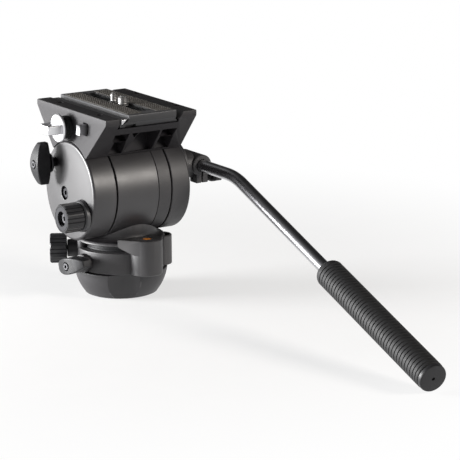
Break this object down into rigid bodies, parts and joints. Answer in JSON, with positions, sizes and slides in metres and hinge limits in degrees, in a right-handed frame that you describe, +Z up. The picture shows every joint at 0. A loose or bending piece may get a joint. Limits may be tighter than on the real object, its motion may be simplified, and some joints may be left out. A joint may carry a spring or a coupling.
{
  "type": "fluid video head",
  "caption": "Black fluid video head: half ball base, panning collar, tilting drum with a sliding camera plate, and a bent pan bar with a long grip.",
  "frame": {"origin": "centre of the half ball's flat underside, on the flush bolt head", "axes": "+Z up along the pan axis, +Y the way the lens looks, +X towards the pan bar's side; the operator stands at -Y"},
  "size_m": [0.1865, 0.5363, 0.2035],
  "materials": {
    "black_paint": "cast aluminium with fine textured satin black paint",
    "black_anodised": "black anodised, satin",
    "bare_aluminium": "bare, lightly brushed",
    "silver": "satin silver plating",
    "steel": "plain machined steel",
    "black_steel": "blackened steel",
    "brass": "plain brass",
    "black_plastic": "moulded satin black",
    "rubber": "matt black rubber",
    "gloss_tube": "gloss black tube",
    "vial": "clear vial with amber liquid"
  },
  "bodies": {
    "base": {"half_ball": "black_paint", "ball_bolt": "steel", "pan_spindle": "steel", "pan_bearing_lower": "steel", "pan_bearing_upper": "steel"},
    "pan_head": {"collar_housing": "black_paint", "level_cup": "bare_aluminium", "level_vial": "vial", "pan_dust_ring": "black_plastic", "neck_casting": "black_paint", "neck_screw_1": "black_steel", "neck_screw_2": "black_steel", "neck_screw_3": "black_steel", "drum_middle": "black_paint", "drum_cover_ring": "black_paint", "tilt_bearing_left": "steel", "tilt_bearing_right": "steel", "fluid_stator": "black_anodised", "counterbalance_spring": "steel", "tilt_brake_disc": "steel"},
    "tilt_head": {"platform": "black_paint", "left_end_cap": "black_paint", "right_end_cap": "black_paint", "tilt_shaft": "steel", "fluid_rotor": "black_anodised", "left_cap_screw": "black_steel", "rail_screw_1": "black_steel", "rail_screw_2": "black_steel", "rail_screw_3": "black_steel", "rail_screw_4": "black_steel", "tilt_drag_base": "black_anodised", "plate_lock_boss": "rubber", "bar_rosette": "black_anodised", "tilt_lock_bushing": "black_steel"},
    "plate": {"camera_plate": "black_anodised", "plate_pad_left": "rubber", "plate_pad_right": "rubber"},
    "small_screw": {"camera_screw_small": "steel"},
    "large_screw": {"camera_screw_large": "steel"},
    "jaw": {"clamp_jaw": "bare_aluminium"},
    "plate_lock": {"plate_lock_knob": "silver"},
    "release": {"release_button": "silver"},
    "tilt_lock": {"tilt_lock_wing": "black_plastic", "tilt_lock_screw": "steel"},
    "tilt_shoe": {"tilt_brake_shoe": "brass"},
    "tilt_drag": {"tilt_drag_knob": "black_plastic", "tilt_drag_dial": "silver", "tilt_drag_shaft": "steel"},
    "pan_lock": {"pan_lock_wing": "black_plastic", "pan_lock_screw": "steel"},
    "pan_shoe": {"pan_brake_shoe": "brass"},
    "pan_drag": {"pan_drag_knob": "black_plastic", "pan_drag_shaft": "steel"},
    "drag_shoe": {"pan_drag_shoe": "brass"},
    "bar_arm": {"bar_clamp": "black_paint"},
    "bar": {"pan_bar_tube": "gloss_tube", "bar_grip": "rubber", "grip_end_cap": "black_plastic"},
    "bar_lock": {"bar_clamp_knob": "black_plastic", "bar_clamp_screw": "steel"}
  },
  "joints": [
    {"name": "pan", "type": "hinge", "parent": "base", "child": "pan_head", "pos_m": [0, 0, 0.05], "axis": [0, 0, 1], "continuous": true},
    {"name": "tilt", "type": "hinge", "parent": "pan_head", "child": "tilt_head", "pos_m": [0, 0, 0.1113], "axis": [1, 0, 0], "range_deg": [-80, 80]},
    {"name": "bar_tilt", "type": "hinge", "parent": "tilt_head", "child": "bar_arm", "pos_m": [0.066, -0.014, 0.1258], "axis": [1, 0, 0], "range_deg": [-150, 90]},
    {"name": "bar_turn", "type": "hinge", "parent": "bar_arm", "child": "bar", "pos_m": [0.08, -0.02, 0.1258], "axis": [0, 1, 0], "range_deg": [-180, 180]},
    {"name": "bar_lock_turn", "type": "hinge", "parent": "bar_arm", "child": "bar_lock", "pos_m": [0.095, -0.023, 0.1127], "axis": [1, 0, 0], "range_deg": [-180, 180]},
    {"name": "plate_slide", "type": "slide", "parent": "tilt_head", "child": "plate", "axis": [0, 1, 0], "range_m": [-0.045, 0.045]},
    {"name": "small_screw_turn", "type": "hinge", "parent": "plate", "child": "small_screw", "pos_m": [-0.00075, 0.008, 0.1953], "axis": [0, 0, 1], "continuous": true},
    {"name": "large_screw_turn", "type": "hinge", "parent": "plate", "child": "large_screw", "pos_m": [-0.00075, -0.0104, 0.1953], "axis": [0, 0, 1], "continuous": true},
    {"name": "plate_lock_turn", "type": "hinge", "parent": "tilt_head", "child": "plate_lock", "pos_m": [-0.066, 0.0044, 0.1756], "axis": [1, 0, 0], "range_deg": [0, 90]},
    {"name": "jaw_slide", "type": "slide", "parent": "tilt_head", "child": "jaw", "axis": [-1, 0, 0], "range_m": [0, 0.0012]},
    {"name": "release_press", "type": "slide", "parent": "tilt_head", "child": "release", "axis": [1, 0, 0], "range_m": [0, 0.003], "stiffness_N_per_m": 400, "springref_m": -0.003},
    {"name": "tilt_lock_turn", "type": "hinge", "parent": "tilt_head", "child": "tilt_lock", "pos_m": [-0.075, 0.0273, 0.1364], "axis": [1, 0, 0], "range_deg": [-90, 0]},
    {"name": "tilt_shoe_slide", "type": "slide", "parent": "tilt_head", "child": "tilt_shoe", "axis": [-1, 0, 0], "range_m": [0, 0.00055]},
    {"name": "tilt_drag_turn", "type": "hinge", "parent": "tilt_head", "child": "tilt_drag", "pos_m": [-0.074, -0.0291, 0.0915], "axis": [1, 0, 0], "range_deg": [-135, 135]},
    {"name": "pan_lock_turn", "type": "hinge", "parent": "pan_head", "child": "pan_lock", "pos_m": [-0.05744, -0.00807, 0.0368], "axis": [-0.9903, -0.1392, 0], "range_deg": [0, 90]},
    {"name": "pan_shoe_slide", "type": "slide", "parent": "pan_head", "child": "pan_shoe", "axis": [0.9903, 0.1392, 0], "range_m": [0, 0.00055]},
    {"name": "pan_drag_turn", "type": "hinge", "parent": "pan_head", "child": "pan_drag", "pos_m": [-0.05369, 0.031, 0.0456], "axis": [-0.866, 0.5, 0], "range_deg": [0, 135]},
    {"name": "drag_shoe_slide", "type": "slide", "parent": "pan_head", "child": "drag_shoe", "axis": [0.866, -0.5, 0], "range_m": [0, 0.0004]}
  ],
  "couplings": [
    {"joint": "plate_lock_turn", "follows": "jaw_slide", "rad_per_m": 1300},
    {"joint": "tilt_lock_turn", "follows": "tilt_shoe_slide", "rad_per_m": -2850},
    {"joint": "pan_lock_turn", "follows": "pan_shoe_slide", "rad_per_m": 2850},
    {"joint": "pan_drag_turn", "follows": "drag_shoe_slide", "rad_per_m": 5850}
  ]
}
